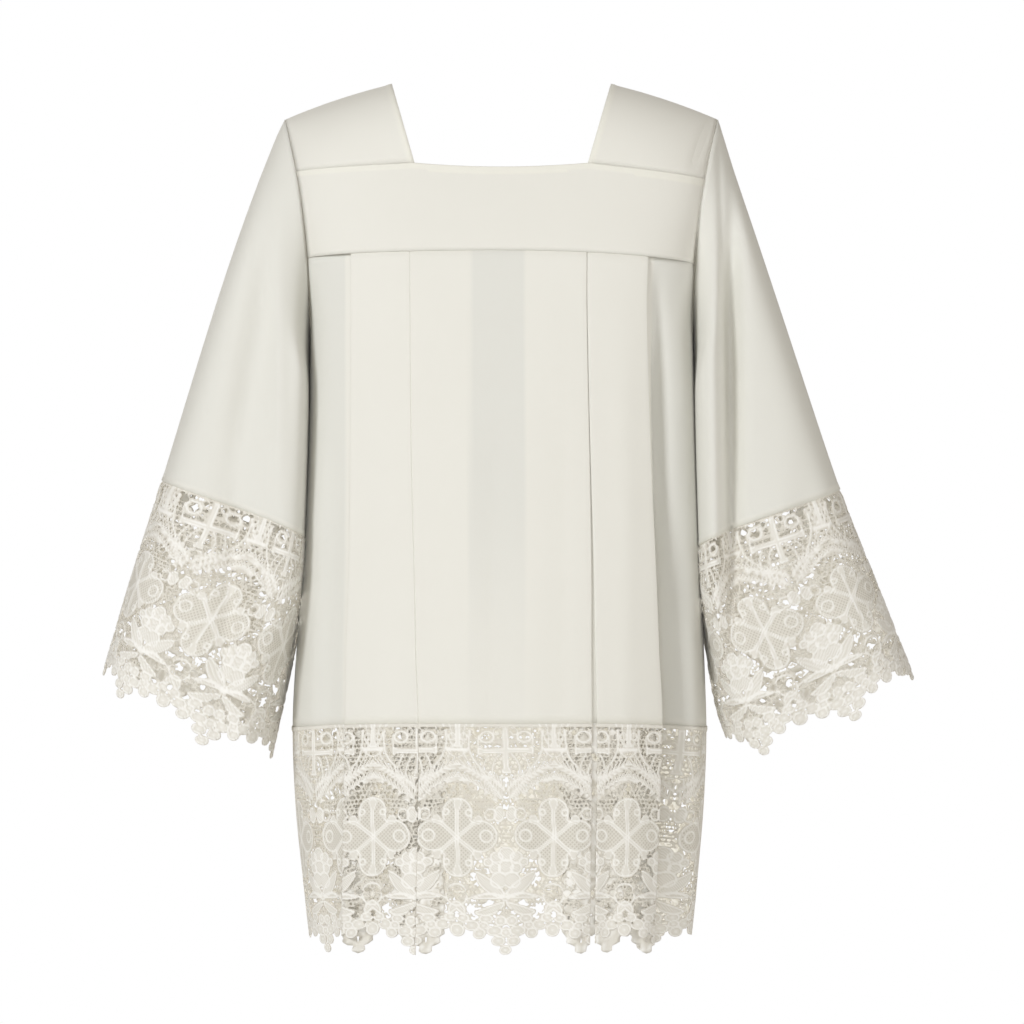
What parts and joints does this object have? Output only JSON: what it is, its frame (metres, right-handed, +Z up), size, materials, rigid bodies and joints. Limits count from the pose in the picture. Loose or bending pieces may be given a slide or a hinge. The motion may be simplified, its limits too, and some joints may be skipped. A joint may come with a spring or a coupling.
{
  "type": "surplice",
  "caption": "Short white surplice with a square-necked yoke, pressed pleats, wide sleeves, and deep guipure lace at hem and cuffs, in its hollow worn form.",
  "frame": {"origin": "between the two shoulder straps, at the height of their neck ends, where the wearer's shoulders carry the garment", "axes": "+X to the right as seen from the front, -Y towards the front, +Z up"},
  "size_m": [0.8075, 0.3034, 0.859],
  "materials": {
    "cloth": "matte ivory-white plain weave, slightly translucent",
    "lace": "matte ivory embroidered thread, slightly lustrous on its cords"
  },
  "bodies": {
    "root": {"yoke_front": "cloth", "yoke_back": "cloth", "shoulder_left": "cloth", "shoulder_right": "cloth", "skirt_front": "cloth", "skirt_back": "cloth", "sleeve_left": "cloth", "sleeve_right": "cloth", "hem_lace_front": "lace", "hem_lace_back": "lace", "cuff_lace_left_front": "lace", "cuff_lace_left_back": "lace", "cuff_lace_right_front": "lace", "cuff_lace_right_back": "lace"}
  },
  "joints": []
}
